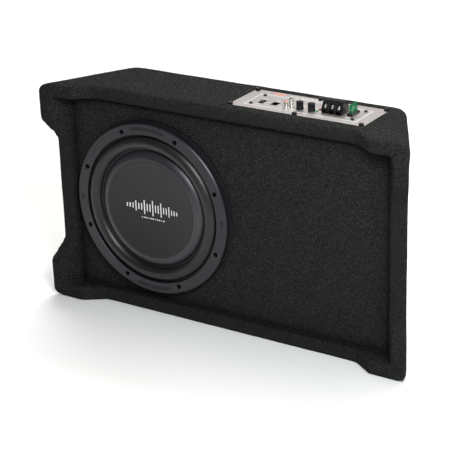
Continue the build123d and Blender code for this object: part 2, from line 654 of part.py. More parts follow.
TOROID_HEIGHT = 14.0
with BuildPart() as toroid_coil:
    with Locations(*plate_places(((78, 0),), CIRCUIT_TOP - CIRCUIT)):
        Cylinder(18, TOROID_HEIGHT, align=DOWN)
        Cylinder(7, TOROID_HEIGHT, align=DOWN, mode=Mode.SUBTRACT)
    fillet(toroid_coil.edges().filter_by(GeomType.CIRCLE), 3)
save(toroid_coil.part, "toroid_coil")

PAN_RADIUS = 4.3
PAN_HEIGHT = 5.0
with BuildPart() as plate_screws:
    with Locations(*plate_screw_places(PLATE_TOP)):
        Cylinder(PAN_RADIUS, PAN_HEIGHT, align=UP)
    fillet(plate_screws.edges().group_by(Axis.Z)[-1], 1.6)
    with Locations(*plate_screw_places(PLATE_TOP + PAN_HEIGHT)):
        Box(4.8, 0.9, 1.8, align=DOWN, mode=Mode.SUBTRACT)
        Box(0.9, 4.8, 1.8, align=DOWN, mode=Mode.SUBTRACT)
    with Locations(*plate_screw_places(PLATE_TOP)):
        Cylinder(WOOD_SCREW_RADIUS, WOOD_SCREW_LENGTH, align=DOWN)
save(plate_screws.part, "plate_screws")

with BuildPart() as board_screws:
    with Locations(*board_screw_places(PLATE_TOP)):
        Cylinder(2.9, 2.2, align=UP)
    fillet(board_screws.edges().group_by(Axis.Z)[-1], 0.9)
    with Locations(*board_screw_places(PLATE_TOP + 2.2)):
        Box(3.2, 0.6, 1.1, align=DOWN, mode=Mode.SUBTRACT)
        Box(0.6, 3.2, 1.1, align=DOWN, mode=Mode.SUBTRACT)
    with Locations(*board_screw_places(PLATE_TOP)):
        Cylinder(1.5, 8, align=DOWN)
save(board_screws.part, "board_screws")

# ================================================================ amplifier controls and connectors
RCA_TOP = PLATE_TOP + 12.0
RCA_BORE = 3.45
RCA_COLLAR = (6.2, 1.2)
with BuildPart() as rca_shells:
    with Locations(*plate_places(RCA_XY, PLATE_TOP)):
        Cylinder(*RCA_COLLAR, align=UP)
        Cylinder(RCA_RADIUS, RCA_TOP - PLATE_TOP, align=UP)
        Cylinder(RCA_BORE, RCA_TOP - PLATE_TOP, align=UP, mode=Mode.SUBTRACT)
    top_edges = rca_shells.edges().filter_by(GeomType.CIRCLE).group_by(Axis.Z)[-1]
    chamfer(top_edges.sort_by(SortBy.RADIUS)[-2:], 0.25)
save(rca_shells.part, "rca_shells")

RCA_CONTACT = 1.65
RCA_CONTACT_DEPTH = 9.0
RCA_CORE_TOP = RCA_TOP - 1.0
for spot, name in zip(RCA_XY, ("rca_core_right", "rca_core_left")):
    with BuildPart() as rca_core:
        with Locations(*plate_places((spot,), PLATE_UNDER)):
            Cylinder(RCA_BORE - 0.05, RCA_CORE_TOP - PLATE_UNDER, align=UP)
        with Locations(*plate_places((spot,), RCA_CORE_TOP)):
            Cylinder(RCA_CONTACT, RCA_CONTACT_DEPTH, align=DOWN, mode=Mode.SUBTRACT)
    save(rca_core.part, name)

rca_middle = (RCA_XY[0][0], (RCA_XY[0][1] + RCA_XY[1][1]) / 2)
with BuildPart() as rca_housing:
    with Locations(*plate_places((rca_middle,), CIRCUIT_TOP)):
        Box(13, 32, CIRCUIT_DROP, align=UP)
save(rca_housing.part, "rca_housing")

SHAFT_RADIUS = 2.0
BUSHING_TOP = PLATE_TOP + 0.4
KNOB_BASE = PLATE_TOP + 0.9
with BuildPart() as potentiometers:
    with Locations(*plate_places(KNOB_XY, CIRCUIT_TOP)):
        Box(13, 13, 8, align=UP)
        Cylinder(3.5, BUSHING_TOP - CIRCUIT_TOP, align=UP)
    with Locations(*plate_places(KNOB_XY, CIRCUIT_TOP + 2)):
        Cylinder(SHAFT_RADIUS + 0.05, CIRCUIT_DROP + 4, align=UP, mode=Mode.SUBTRACT)
save(potentiometers.part, "potentiometers")

GRIP_RIBS = 20
SHAFT_GRIP = 9.0
SKIRT_HEIGHT = 2.2
for spot, name in zip(KNOB_XY, ("level", "crossover")):
    with BuildPart() as shaft:
        with Locations(*plate_places((spot,), CIRCUIT_TOP + 2.1)):
            Cylinder(SHAFT_RADIUS, KNOB_BASE + SHAFT_GRIP - CIRCUIT_TOP - 2.1, align=UP)
    save(shaft.part, f"{name}_shaft")
    with BuildPart() as knob:
        with BuildSketch(Plane.XY.offset(KNOB_BASE)):
            with Locations((PLATE_X + spot[0], PLATE_Y + spot[1])):
                Circle(KNOB_RADIUS)
                with PolarLocations(KNOB_RADIUS + 0.15, GRIP_RIBS):
                    Circle(0.5, mode=Mode.SUBTRACT)
        extrude(amount=KNOB_HEIGHT)
        with BuildSketch(Plane.XY.offset(KNOB_BASE)):
            with Locations((PLATE_X + spot[0], PLATE_Y + spot[1])):
                Circle(KNOB_RADIUS + 0.4)
        extrude(amount=SKIRT_HEIGHT)
        with Locations(*plate_places((spot,), KNOB_BASE)):
            Cylinder(SHAFT_RADIUS, SHAFT_GRIP, align=UP, mode=Mode.SUBTRACT)
        pointer = (spot[0], spot[1] - KNOB_RADIUS / 2)
        with Locations(*plate_places((pointer,), KNOB_BASE + KNOB_HEIGHT)):
            Box(1.0, KNOB_RADIUS, 1.2, align=DOWN, mode=Mode.SUBTRACT)
    save(knob.part, f"{name}_knob")

for spot, name in zip(LED_XY, ("power_led", "protect_led")):
    with BuildPart() as led:
        with Locations(*plate_places((spot,), CIRCUIT_TOP + 6)):
            Cylinder(LED_RADIUS, PLATE_TOP - CIRCUIT_TOP - 6, align=UP)
        with Locations(*plate_places((spot,), PLATE_TOP)):
            Sphere(LED_RADIUS)
        with Locations(*plate_places((spot,), CIRCUIT_TOP)):
            Box(3.0, 0.5, 7, align=UP)
    save(led.part, name)

# The terminal block stands on the circuit board; its screws sit in wells in the sloping front.
TERMINAL_BASE = CIRCUIT_TOP
terminal_profile = [
    (-13.0, TERMINAL_BASE),
    (-13.0, PLATE_TOP + 7.0),
    (-6.5, PLATE_TOP + 17.5),
    (-2.0, PLATE_TOP + 20.5),
    (5.0, PLATE_TOP + 20.5),
    (11.0, PLATE_TOP + 16.0),
    (13.0, PLATE_TOP + 8.0),
    (13.0, TERMINAL_BASE),
]
terminal_x = PLATE_X + TERMINAL_XY[0]
terminal_y = PLATE_Y + TERMINAL_XY[1]
pole_x = [terminal_x + TERMINAL_PITCH * i for i in (-1, 0, 1)]
slope = math.atan2(10.5, 6.5)
well_dir = (0, -math.sin(slope), math.cos(slope))
well_mouth_y = terminal_y - 9.9
well_mouth_z = PLATE_TOP + 12.0
WELL_RADIUS = 4.0
WELL_DEPTH = 3.4
ENTRY_SIZE = (7.6, 5.4)
POLE_GROOVE = 0.6
with BuildPart() as terminal_block:
    with BuildSketch(Plane.YZ.offset(terminal_x - TERMINAL_LENGTH / 2 + POLE_GROOVE)):
        with BuildLine():
            Polyline(*((terminal_y + y, z) for y, z in terminal_profile), close=True)
        make_face()
        offset(amount=-POLE_GROOVE)
    extrude(amount=TERMINAL_LENGTH - 2 * POLE_GROOVE)
    for x in pole_x:
        with BuildSketch(Plane.YZ.offset(x - TERMINAL_PITCH / 2 + POLE_GROOVE / 2)):
            with BuildLine():
                Polyline(*((terminal_y + y, z) for y, z in terminal_profile), close=True)
            make_face()
        extrude(amount=TERMINAL_PITCH - POLE_GROOVE)
    for x in pole_x:
        mouth = Plane(origin=(x, well_mouth_y, well_mouth_z), z_dir=well_dir)
        with Locations(mouth.location):
            Cylinder(WELL_RADIUS, 2 * WELL_DEPTH, mode=Mode.SUBTRACT)
            Cylinder(2.1, 14, mode=Mode.SUBTRACT)
        with Locations((x, terminal_y - 13, PLATE_TOP + 0.7)):
            Box(ENTRY_SIZE[0], 16, ENTRY_SIZE[1], align=UP, mode=Mode.SUBTRACT)
save(terminal_block.part, "terminal_block")

CLAMP_HEAD = 3.3
for x, name in zip(pole_x, ("supply", "remote", "ground")):
    seat = Plane(origin=(x, well_mouth_y, well_mouth_z), z_dir=well_dir).offset(-WELL_DEPTH + 0.3)
    with BuildPart() as clamp_screw:
        with Locations(seat.location):
            Cylinder(CLAMP_HEAD, 2.0, align=UP)
            Cylinder(2.05, 3.4, align=DOWN)
        with Locations(seat.offset(2.0).location):
            Box(2 * CLAMP_HEAD, 0.9, 1.1, align=DOWN, mode=Mode.SUBTRACT)
    save(clamp_screw.part, f"{name}_clamp_screw")

# The fuse stands across the holder's length and pulls straight up out of it.
HOLDER_HEIGHT = 4.0
FUSE_LENGTH = 19.1
FUSE_THICKNESS = 5.1
FUSE_TOP = 15.5
BLADE_Y = 7.0
BLADE_SIZE = (0.7, 5.2)
with BuildPart() as fuse_holder:
    with Locations(*plate_places((FUSE_XY,), PLATE_TOP)):
        Box(FUSE_HOLDER_SIZE[0], FUSE_HOLDER_SIZE[1], HOLDER_HEIGHT, align=UP)
        Box(FUSE_HOLDER_SIZE[0] - 2.4, FUSE_HOLDER_SIZE[1] - 2.4, PLATE_TOP - CIRCUIT_TOP, align=DOWN)
    with Locations(*plate_places((FUSE_XY,), PLATE_TOP + HOLDER_HEIGHT)):
        Box(FUSE_THICKNESS + 0.6, FUSE_LENGTH + 0.6, 2.0, align=DOWN, mode=Mode.SUBTRACT)
    for y in (-BLADE_Y, BLADE_Y):
        with Locations(*plate_places(((FUSE_XY[0], FUSE_XY[1] + y),), PLATE_TOP + HOLDER_HEIGHT)):
            Box(BLADE_SIZE[0] + 0.6, BLADE_SIZE[1] + 0.6, 12, align=DOWN, mode=Mode.SUBTRACT)
save(fuse_holder.part, "fuse_holder")

FUSE_BASE = PLATE_TOP + HOLDER_HEIGHT - 1.7
with BuildPart() as fuse_body:
    with Locations(*plate_places((FUSE_XY,), FUSE_BASE)):
        Box(FUSE_THICKNESS - 1.1, FUSE_LENGTH - 2.4, FUSE_TOP - 2, align=UP)
        for y in (-BLADE_Y, BLADE_Y):
            with Locations((0, y, 0)):
                Box(FUSE_THICKNESS, 5.1, FUSE_TOP - 1.5, align=UP)
    with Locations(*plate_places((FUSE_XY,), FUSE_BASE + FUSE_TOP - 4)):
        Box(FUSE_THICKNESS, FUSE_LENGTH, 4, align=UP)
    for y in (-BLADE_Y, BLADE_Y):
        with Locations(*plate_places(((FUSE_XY[0], FUSE_XY[1] + y),), FUSE_BASE)):
            Box(*BLADE_SIZE, 3, align=UP, mode=Mode.SUBTRACT)
save(fuse_body.part, "fuse_body")

with BuildPart() as fuse_blades:
    for y in (-BLADE_Y, BLADE_Y):
        with Locations(*plate_places(((FUSE_XY[0], FUSE_XY[1] + y),), FUSE_BASE + 3)):
            Box(*BLADE_SIZE, 12, align=DOWN)
save(fuse_blades.part, "fuse_blades")

SWITCH_RIM = 0.8
LEVER_SIZE = (4.4, 4.5)
SLOT_SIZE = (LEVER_SIZE[0] + 0.6, LEVER_SIZE[1] + SWITCH_TRAVEL + 0.8)
with BuildPart() as switch_housing:
    with Locations(*plate_places((SWITCH_XY,), PLATE_TOP)):
        Box(SWITCH_SIZE[0], SWITCH_SIZE[1], SWITCH_RIM, align=UP)
        Box(SWITCH_SIZE[0] - 2.4, SWITCH_SIZE[1] - 2.4, 8, align=DOWN)
    with Locations(*plate_places((SWITCH_XY,), PLATE_TOP + SWITCH_RIM)):
        Box(*SLOT_SIZE, 5, align=DOWN, mode=Mode.SUBTRACT)
save(switch_housing.part, "switch_housing")

with BuildPart() as switch_lever:
    spot = (SWITCH_XY[0], SWITCH_XY[1] - SWITCH_TRAVEL / 2)
    with Locations(*plate_places((spot,), PLATE_TOP + SWITCH_RIM - 4.8)):
        Box(*LEVER_SIZE, 8, align=UP)
    fillet(switch_lever.edges().group_by(Axis.Z)[-1], 0.5)
save(switch_lever.part, "switch_lever")

PORT_DEPTH = 12.0
with BuildPart() as control_port:
    with Locations(*plate_places((PORT_XY,), PLATE_TOP - 0.4)):
        Box(PORT_SIZE[0] - 0.3, PORT_SIZE[1] - 0.3, PORT_DEPTH, align=DOWN)
        Box(PORT_SIZE[0] - 2.6, PORT_SIZE[1] - 2.6, PORT_DEPTH - 1.5, align=DOWN, mode=Mode.SUBTRACT)
save(control_port.part, "control_port")

# Two insulated leads run from the amplifier through its grommet to the loudspeaker's terminals.
LEAD_RADIUS = 1.6
with BuildPart() as speaker_leads:
    for side in (-1, 1):
        y = PLATE_Y + 1.9 * side
        z_low = DRIVER_Z + 9 * side
        start = (CHASSIS_LEFT + 12, y, GROMMET_Z)
        turn = (CHASSIS_LEFT - 26 - 5 * side, y, GROMMET_Z)
        drop = (CHASSIS_LEFT - 26 - 5 * side, y, z_low)
        end = (TERMINAL_X + 11.2, y, z_low)
        with BuildLine() as route:
            FilletPolyline(start, turn, drop, end, radius=22)
        with BuildSketch(Plane(origin=start, z_dir=(-1, 0, 0))):
            Circle(LEAD_RADIUS)
        sweep(path=route.line)
save(speaker_leads.part, "speaker_leads")
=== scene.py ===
import json
import math

import bmesh
import bpy
import numpy as np
from mathutils import Matrix, Vector, noise
from mathutils.bvhtree import BVHTree


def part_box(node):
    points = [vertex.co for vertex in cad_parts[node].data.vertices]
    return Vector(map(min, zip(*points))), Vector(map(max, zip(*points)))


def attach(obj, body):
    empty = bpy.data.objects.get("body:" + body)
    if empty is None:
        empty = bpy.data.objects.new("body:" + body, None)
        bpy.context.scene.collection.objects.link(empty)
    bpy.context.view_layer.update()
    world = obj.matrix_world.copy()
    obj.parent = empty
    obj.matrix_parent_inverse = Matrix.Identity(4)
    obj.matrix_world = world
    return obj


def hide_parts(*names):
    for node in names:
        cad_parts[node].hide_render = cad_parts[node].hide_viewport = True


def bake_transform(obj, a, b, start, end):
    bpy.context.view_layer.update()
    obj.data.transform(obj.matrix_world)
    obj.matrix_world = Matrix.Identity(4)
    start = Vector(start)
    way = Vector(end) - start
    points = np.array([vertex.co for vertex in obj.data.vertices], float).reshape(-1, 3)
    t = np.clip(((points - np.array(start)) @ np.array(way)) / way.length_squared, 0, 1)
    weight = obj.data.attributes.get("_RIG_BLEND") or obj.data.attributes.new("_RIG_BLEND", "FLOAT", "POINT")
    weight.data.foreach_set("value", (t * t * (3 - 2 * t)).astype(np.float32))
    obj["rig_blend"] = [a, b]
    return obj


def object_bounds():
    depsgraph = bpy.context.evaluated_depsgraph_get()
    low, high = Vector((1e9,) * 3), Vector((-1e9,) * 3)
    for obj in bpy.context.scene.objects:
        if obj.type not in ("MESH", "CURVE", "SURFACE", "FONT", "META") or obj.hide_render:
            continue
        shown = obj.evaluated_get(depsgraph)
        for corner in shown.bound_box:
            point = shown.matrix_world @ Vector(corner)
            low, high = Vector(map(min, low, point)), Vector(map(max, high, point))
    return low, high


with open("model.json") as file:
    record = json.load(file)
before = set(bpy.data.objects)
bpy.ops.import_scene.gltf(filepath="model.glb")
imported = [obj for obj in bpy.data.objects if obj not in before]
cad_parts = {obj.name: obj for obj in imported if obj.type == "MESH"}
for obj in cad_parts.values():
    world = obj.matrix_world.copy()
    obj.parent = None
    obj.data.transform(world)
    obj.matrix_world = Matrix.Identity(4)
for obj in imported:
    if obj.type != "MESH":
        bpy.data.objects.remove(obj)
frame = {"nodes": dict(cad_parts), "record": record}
nodes = frame["nodes"]
CAD_LOW, CAD_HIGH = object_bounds()
MM = 0.001


# ================================================================ places read from the frame
CAP_LOW, CAP_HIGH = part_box("dust_cap")
FLANGE_LOW, FLANGE_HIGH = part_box("basket")
FLANGE_RADIUS = (FLANGE_HIGH.x - FLANGE_LOW.x) / 2
PLATE_LOW, PLATE_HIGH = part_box("amp_plate")
PLATE_MIDDLE = (PLATE_LOW + PLATE_HIGH) / 2
DRIVER = (CAP_LOW + CAP_HIGH) / 2  # a point on the loudspeaker's axis, which runs along y
DRIVER.y = 0.0


# ================================================================ materials
CREASE_SHADE = "crease_shade"  # painted shade: says at each place of the carpet how much its colour is darkened for being creased inward or near the recess's corners
BAND_LENGTH = 0.314  # the length of one band of Blender's wave texture at scale 1


class Finish:
    """A principled material with short calls for the patterns that it is built from."""

    def __init__(self, name, colour, roughness, metallic=0.0, **sockets):
        self.material = bpy.data.materials.new(name)
        self.material.use_nodes = True
        self.tree = self.material.node_tree
        self.surface = self.tree.nodes["Principled BSDF"]
        self.surface.inputs["Base Color"].default_value = (*colour, 1.0)
        self.surface.inputs["Roughness"].default_value = roughness
        self.surface.inputs["Metallic"].default_value = metallic
        for socket, value in sockets.items():
            self.surface.inputs[socket.replace("_", " ")].default_value = value
        self.place = self.tree.nodes.new("ShaderNodeTexCoord").outputs["Object"]
        self.height = None

    def node(self, kind, **settings):
        """A new shader node with its settings."""
        made = self.tree.nodes.new(kind)
        for key, value in settings.items():
            setattr(made, key, value)
        return made

    def link(self, output, socket):
        self.tree.links.new(output, socket)

    def stretched(self, scale):
        """Object coordinates, scaled by three numbers."""
        mapping = self.node("ShaderNodeMapping")
        mapping.inputs["Scale"].default_value = scale
        self.link(self.place, mapping.inputs["Vector"])
        return mapping.outputs["Vector"]

    def noise(self, size, detail=3.0, roughness=0.55, vector=None):
        """Noise whose features are about size metres across."""
        made = self.node("ShaderNodeTexNoise")
        made.inputs["Scale"].default_value = 1 / size
        made.inputs["Detail"].default_value = detail
        made.inputs["Roughness"].default_value = roughness
        self.link(vector or self.place, made.inputs["Vector"])
        return made.outputs["Fac"]

    def spread(self, source, low, high, start=0.0, end=1.0):
        """Maps source from start..end to low..high."""
        made = self.node("ShaderNodeMapRange", clamp=True)
        for socket, value in zip(("From Min", "From Max", "To Min", "To Max"), (start, end, low, high)):
            made.inputs[socket].default_value = value
        self.link(source, made.inputs["Value"])
        return made.outputs["Result"]

    def ramp(self, source, *stops):
        """Colours along source, given as (position, colour)."""
        made = self.node("ShaderNodeValToRGB")
        points = made.color_ramp.elements
        while len(points) < len(stops):
            points.new(0.5)
        for point, (position, colour) in zip(points, stops):
            point.position = position
            point.color = (*colour, 1.0)
        self.link(source, made.inputs["Fac"])
        return made.outputs["Color"]

    def sum(self, first, second, weight=1.0):
        """first plus weight times second."""
        made = self.node("ShaderNodeMath", operation="MULTIPLY_ADD")
        self.link(second, made.inputs[0])
        made.inputs[1].default_value = weight
        self.link(first, made.inputs[2])
        return made.outputs["Value"]

    def colour(self, output):
        self.link(output, self.surface.inputs["Base Color"])

    def roughness(self, output):
        self.link(output, self.surface.inputs["Roughness"])

    def relief(self, source, depth, strength=1.0):
        """Bumps depth metres high, over those added before."""
        made = self.node("ShaderNodeBump")
        made.inputs["Distance"].default_value = depth
        made.inputs["Strength"].default_value = strength
        self.link(source, made.inputs["Height"])
        if self.height:
            self.link(self.height, made.inputs["Normal"])
        self.height = made.outputs["Normal"]
        self.link(self.height, self.surface.inputs["Normal"])


def tinted(colour, share):
    """A colour made lighter or darker by a share of itself."""
    return tuple(min(1.0, c * (1 + share)) for c in colour)


def mottled(name, colour, roughness, patch, grain, depth, vary=0.12, metallic=0.0, gloss=0.5):
    """A moulded, painted or plated finish: uneven tone in patches, uneven gloss and a fine grain."""
    made = Finish(name, colour, roughness, metallic, Specular_IOR_Level=gloss)
    patches = made.noise(patch, detail=5)
    fine = made.noise(grain, detail=2)
    made.colour(made.ramp(patches, (0.3, tinted(colour, -vary)), (0.7, tinted(colour, vary))))
    made.roughness(made.spread(made.sum(patches, fine, 0.4), roughness * 0.85, roughness * 1.15, 0.4, 1.0))
    made.relief(fine, depth)
    return made.material


def carpet_finish():
    """Needle-punched carpet: matted charcoal fibres with paler strands, with painted shade that darkens it
    in its creases and in the corners of the recess.
    """
    dark, plain, pale = (0.0046, 0.0050, 0.0054), (0.0118, 0.0126, 0.0127), (0.0560, 0.0570, 0.0515)
    made = Finish("carpet", plain, 1.0, Specular_IOR_Level=0.03)
    combed = made.stretched((1.0, 0.4, 1.0))
    clumps = made.noise(9.0 * MM, detail=2)
    tufts = made.noise(1.35 * MM, detail=3, roughness=0.7, vector=combed)
    strands = made.noise(0.5 * MM, detail=2, vector=combed)
    depth = made.sum(made.sum(tufts, clumps, 0.03), strands, 0.35)
    tone = made.ramp(made.spread(depth, 0.0, 1.0, 0.44, 0.93), (0.12, dark), (0.5, plain), (0.9, pale))
    # painted shade: the colour falls to 0.22 of itself where the crease_shade attribute is full
    crease = made.node("ShaderNodeAttribute", attribute_name=CREASE_SHADE).outputs["Fac"]
    shaded = made.node("ShaderNodeVectorMath", operation="SCALE")
    made.link(tone, shaded.inputs[0])
    made.link(made.spread(crease, 1.0, 0.22), shaded.inputs["Scale"])
    made.colour(shaded.outputs["Vector"])
    made.relief(depth, 0.7 * MM)
    return made.material


def rubber_finish(name, level):
    """Smooth moulded rubber with faint mould bloom."""
    colour = (level, level * 1.03, level * 1.12)
    made = Finish(name, colour, 0.42)
    bloom = made.noise(22 * MM, detail=6, roughness=0.65)
    made.colour(made.ramp(bloom, (0.3, tinted(colour, -0.15)), (0.75, tinted(colour, 0.35))))
    made.roughness(made.spread(bloom, 0.38, 0.46, 0.3, 0.7))
    made.relief(made.noise(0.6 * MM, detail=2), 0.004 * MM)
    return made.material


def plate_finish():
    """Silver anodised sheet, drawn along its length."""
    colour = (0.315, 0.292, 0.284)
    made = Finish("plate_silver", colour, 0.3, 0.6)
    drawn = made.noise(0.4 * MM, detail=3, vector=made.stretched((0.02, 1.0, 1.0)))
    patches = made.noise(40 * MM, detail=4)
    tone = made.sum(patches, drawn, 0.3)
    made.colour(made.ramp(tone, (0.4, tinted(colour, -0.05)), (0.9, tinted(colour, 0.06))))
    made.roughness(made.spread(drawn, 0.26, 0.38, 0.3, 0.7))
    made.relief(drawn, 0.002 * MM)
    return made.material


def board_finish():
    """Medium-density fibreboard: pale brown, with pressed fibre flecks."""
    colour = (0.36, 0.25, 0.15)
    made = Finish("mdf", colour, 0.8)
    fleck = made.noise(1.2 * MM, detail=5, roughness=0.7)
    patches = made.noise(35 * MM, detail=3)
    tone = made.sum(fleck, patches, 0.5)
    made.colour(made.ramp(tone, (0.5, tinted(colour, -0.25)), (1.0, tinted(colour, 0.25))))
    made.relief(fleck, 0.05 * MM)
    return made.material


def weave_finish(name, colour, pitch, depth):
    """A woven cloth with threads both ways."""
    made = Finish(name, colour, 0.75)
    waves = []
    for direction in ("X", "Z"):
        wave = made.node("ShaderNodeTexWave", bands_direction=direction)
        wave.inputs["Scale"].default_value = BAND_LENGTH / pitch
        wave.inputs["Distortion"].default_value = 0.6
        made.link(made.place, wave.inputs["Vector"])
        waves.append(wave.outputs["Fac"])
    both = made.sum(waves[0], waves[1])
    tone = made.spread(both, 0, 1, 0, 2)
    made.colour(made.ramp(tone, (0.2, tinted(colour, -0.4)), (0.8, tinted(colour, 0.2))))
    made.relief(both, depth)
    return made.material


def wadding_finish():
    """Lofted polyester fibre."""
    made = Finish("wadding", (0.75, 0.75, 0.72), 0.95, Sheen_Weight=0.4)
    loft = made.noise(9 * MM, detail=8, roughness=0.75)
    made.colour(made.ramp(loft, (0.3, (0.55, 0.55, 0.52)), (0.7, (0.85, 0.85, 0.82))))
    made.relief(loft, 3 * MM)
    return made.material


def translucent(name, colour, roughness=0.12):
    """Clear coloured plastic that lets light through, with faint flow lines."""
    made = Finish(name, colour, roughness, Transmission_Weight=0.75, IOR=1.5)
    flow = made.noise(4 * MM, detail=4)
    made.colour(made.ramp(flow, (0.3, tinted(colour, -0.2)), (0.7, tinted(colour, 0.15))))
    made.relief(flow, 0.02 * MM)
    return made.material


def circuit_finish():
    """Solder mask over copper tracks."""
    made = Finish("board_green", (0.02, 0.14, 0.05), 0.35)
    tracks = made.node("ShaderNodeTexBrick")
    tracks.inputs["Scale"].default_value = 60
    tracks.inputs["Color1"].default_value = (0.015, 0.12, 0.04, 1)
    tracks.inputs["Color2"].default_value = (0.02, 0.16, 0.06, 1)
    tracks.inputs["Mortar"].default_value = (0.06, 0.3, 0.1, 1)
    tracks.inputs["Mortar Size"].default_value = 0.03
    made.link(made.place, tracks.inputs["Vector"])
    made.colour(tracks.outputs["Color"])
    made.relief(tracks.outputs["Fac"], 0.05 * MM)
    return made.material


def wound_finish(name, colour, pitch):
    """Enamelled wire laid in close turns."""
    made = Finish(name, colour, 0.3, 0.85)
    turns = made.node("ShaderNodeTexWave", bands_direction="Y")
    turns.inputs["Scale"].default_value = BAND_LENGTH / pitch
    made.link(made.place, turns.inputs["Vector"])
    made.colour(made.ramp(turns.outputs["Fac"], (0.0, tinted(colour, -0.6)), (0.6, colour)))
    made.relief(turns.outputs["Fac"], pitch / 3)
    return made.material


# Name, colour and roughness, then the patches, the grain and its depth in millimetres,
# and the settings that aren't mottled()'s usual ones.
MOULDED = (
    ("foam", (0.02, 0.02, 0.02), 0.9, 12, 0.8, 0.15, {}),
    ("frame_black", (0.0088, 0.0092, 0.0128), 0.42, 30, 0.35, 0.006, {"vary": 0.06}),
    ("frame_mark", (0.003, 0.003, 0.004), 0.6, 4, 0.3, 0.01, {"gloss": 0.2}),
    ("cone_black", (0.0092, 0.0093, 0.0136), 0.44, 25, 0.3, 0.003, {"gloss": 0.78}),
    ("cap_black", (0.0050, 0.0051, 0.0070), 0.42, 30, 0.3, 0.004, {"gloss": 0.42}),
    ("former_foil", (0.62, 0.62, 0.64), 0.3, 8, 0.4, 0.01, {"metallic": 1.0}),
    ("plated_steel", (0.56, 0.56, 0.52), 0.32, 12, 0.5, 0.01, {"metallic": 1.0}),
    ("ferrite", (0.045, 0.045, 0.05), 0.6, 10, 0.6, 0.05, {}),
    ("screw_black", (0.006, 0.006, 0.007), 0.3, 3, 0.2, 0.01, {"gloss": 0.2}),
    ("screw_sunk", (0.002, 0.002, 0.002), 0.7, 3, 0.2, 0.01, {"gloss": 0.05}),
    ("shell_bright", (0.8, 0.78, 0.74), 0.24, 3, 0.2, 0.004, {"metallic": 0.85}),
    ("clamp_steel", (0.4, 0.39, 0.37), 0.3, 3, 0.2, 0.01, {"metallic": 1.0}),
    ("chassis_aluminium", (0.5, 0.5, 0.52), 0.4, 20, 0.4, 0.01, {"metallic": 1.0}),
    ("capacitor_sleeve", (0.02, 0.02, 0.08), 0.25, 6, 0.5, 0.01, {}),
    ("nickel", (0.72, 0.7, 0.66), 0.18, 4, 0.3, 0.004, {"vary": 0.06, "metallic": 1.0}),
    ("core_orange", (0.85, 0.19, 0.015), 0.35, 3, 0.3, 0.01, {}),
    ("core_black", (0.015, 0.015, 0.016), 0.35, 3, 0.3, 0.01, {}),
    ("housing_black", (0.005, 0.005, 0.006), 0.22, 5, 0.4, 0.02, {}),
    ("knob_black", (0.006, 0.006, 0.007), 0.2, 4, 0.3, 0.02, {}),
    ("lever_grey", (0.07, 0.07, 0.07), 0.4, 4, 0.3, 0.02, {}),
    ("print_white", (0.8, 0.8, 0.78), 0.5, 6, 0.3, 0.004, {"vary": 0.03}),
    ("print_dark", (0.02, 0.02, 0.022), 0.5, 6, 0.3, 0.004, {"vary": 0.05}),
    ("print_red", (0.82, 0.1, 0.025), 0.45, 6, 0.3, 0.004, {"vary": 0.06}),
    ("lead_insulation", (0.3, 0.012, 0.012), 0.35, 6, 0.4, 0.01, {}),
)
MATERIALS = {
    name: mottled(name, colour, roughness, patch * MM, grain * MM, depth * MM, **unusual)
    for name, colour, roughness, patch, grain, depth, unusual in MOULDED
}
MATERIALS.update(
    {
        "mdf": board_finish(),
        "carpet": carpet_finish(),
        "wadding": wadding_finish(),
        "surround_rubber": rubber_finish("surround_rubber", 0.0045),
        "boot_rubber": rubber_finish("boot_rubber", 0.012),
        "spider_cloth": weave_finish("spider_cloth", (0.45, 0.3, 0.12), 0.9 * MM, 0.15 * MM),
        "winding_copper": wound_finish("winding_copper", (0.62, 0.26, 0.12), 0.4 * MM),
        "coil_enamel": wound_finish("coil_enamel", (0.55, 0.22, 0.07), 1.2 * MM),
        "plate_silver": plate_finish(),
        "board_green": circuit_finish(),
        "led_green": translucent("led_green", (0.1, 0.75, 0.2)),
        "led_red": translucent("led_red", (0.8, 0.03, 0.03)),
        "fuse_green": translucent("fuse_green", (0.015, 0.36, 0.15)),
    }
)
OWN_FINISH = {  # CAD nodes that don't take the finish of their slot in the record
    "driver_screws": "screw_sunk",
    "rca_shells": "shell_bright",
    "supply_clamp_screw": "clamp_steel",
    "remote_clamp_screw": "clamp_steel",
    "ground_clamp_screw": "clamp_steel",
}


def dress_cad():
    """Gives every CAD node the finish of its slot in the record, or its own."""
    for row in frame["record"]["subparts"]:
        shown = nodes[row["node"]]
        for place in shown.material_slots:
            place.link = "OBJECT"
            place.material = MATERIALS[OWN_FINISH.get(row["node"], row["material_slot"])]


# ================================================================ mesh helpers
def new_piece(name, mesh, slot, body="cabinet"):
    """A finished mesh as a piece of the object, in a slot's finish, riding on a body."""
    piece = bpy.data.objects.new(name, mesh)
    bpy.context.scene.collection.objects.link(piece)
    mesh.materials.clear()
    mesh.materials.append(MATERIALS[slot])
    mesh.shade_smooth()
    if body:
        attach(piece, body)
    return piece


def lathe(name, profile, segments):
    """A closed ring turned about the loudspeaker's axis from (radius, depth) points."""
    turned = bmesh.new()
    loops = []
    for i in range(segments):
        angle = 2 * math.pi * i / segments
        x, z = math.cos(angle), math.sin(angle)
        loops.append([turned.verts.new((DRIVER.x + r * x, y, DRIVER.z + r * z)) for r, y in profile])
    count = len(profile)
    for i in range(segments):
        here, there = loops[i], loops[(i + 1) % segments]
        for j in range(count):
            k = (j + 1) % count
            turned.faces.new((here[j], here[k], there[k], there[j]))
    bmesh.ops.recalc_face_normals(turned, faces=turned.faces)
    mesh = bpy.data.meshes.new(name)
    turned.to_mesh(mesh)
    turned.free()
    return mesh


# ================================================================ carpet
CARPET_NODES = ("carpet_wrap", "bottom_carpet", "baffle_carpet", "back_carpet")
BOARD_NODES = ("top_panel", "bottom_panel", "left_panel", "right_panel", "front_baffle", "back_panel")
CARPET_VOXEL = 2.9 * MM
CARPET_THICKNESS = 3.5 * MM
BURIED = 0.4 * CARPET_THICKNESS  # faces nearer to the boards than this are the carpet's glued side

